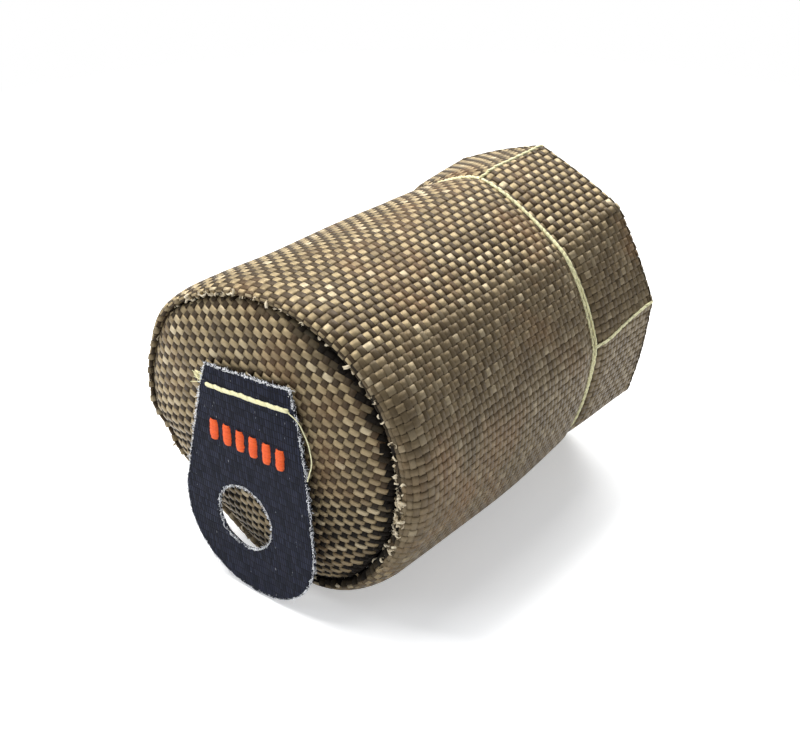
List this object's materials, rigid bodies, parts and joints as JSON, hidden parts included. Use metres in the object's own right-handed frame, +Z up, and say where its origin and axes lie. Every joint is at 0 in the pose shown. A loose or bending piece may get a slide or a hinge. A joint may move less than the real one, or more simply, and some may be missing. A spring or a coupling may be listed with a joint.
{
  "type": "oil filter heat blanket",
  "caption": "Padded woven sleeve with a closed puffed end, a thin open skirt and a hanging pull tab, slipped over an engine's oil filter to shield it from heat.",
  "frame": {"origin": "on the ground under the middle of the sleeve's length, at the centre of the small flat spot that it lies on", "axes": "+Y along the sleeve towards its open end, +Z up, +X to the right when looking at the closed end"},
  "size_m": [0.0954, 0.1302, 0.0977],
  "materials": {
    "woven_cloth": "plain weave of flat glossy mineral-fibre tows, golden brown with darker crossings",
    "batting": "soft off-white needled batting",
    "liner_cloth": "finely woven matt glass cloth",
    "tab_cloth": "tightly woven blue-black cloth with pale frayed edges",
    "thread": "pale yellow heat-proof sewing thread",
    "satin_bars": "orange satin-stitched embroidery"
  },
  "bodies": {
    "root": {"outer_wall": "woven_cloth", "end_panel": "woven_cloth", "wall_padding": "batting", "end_padding": "batting", "liner_wall": "liner_cloth", "liner_end": "liner_cloth", "pull_tab": "tab_cloth", "stitch_ring": "thread", "skirt_seam_1": "thread", "skirt_seam_2": "thread", "skirt_seam_3": "thread", "skirt_seam_4": "thread", "tab_stitches": "thread", "tab_bar_1": "satin_bars", "tab_bar_2": "satin_bars", "tab_bar_3": "satin_bars", "tab_bar_4": "satin_bars", "tab_bar_5": "satin_bars", "tab_bar_6": "satin_bars"}
  },
  "joints": []
}
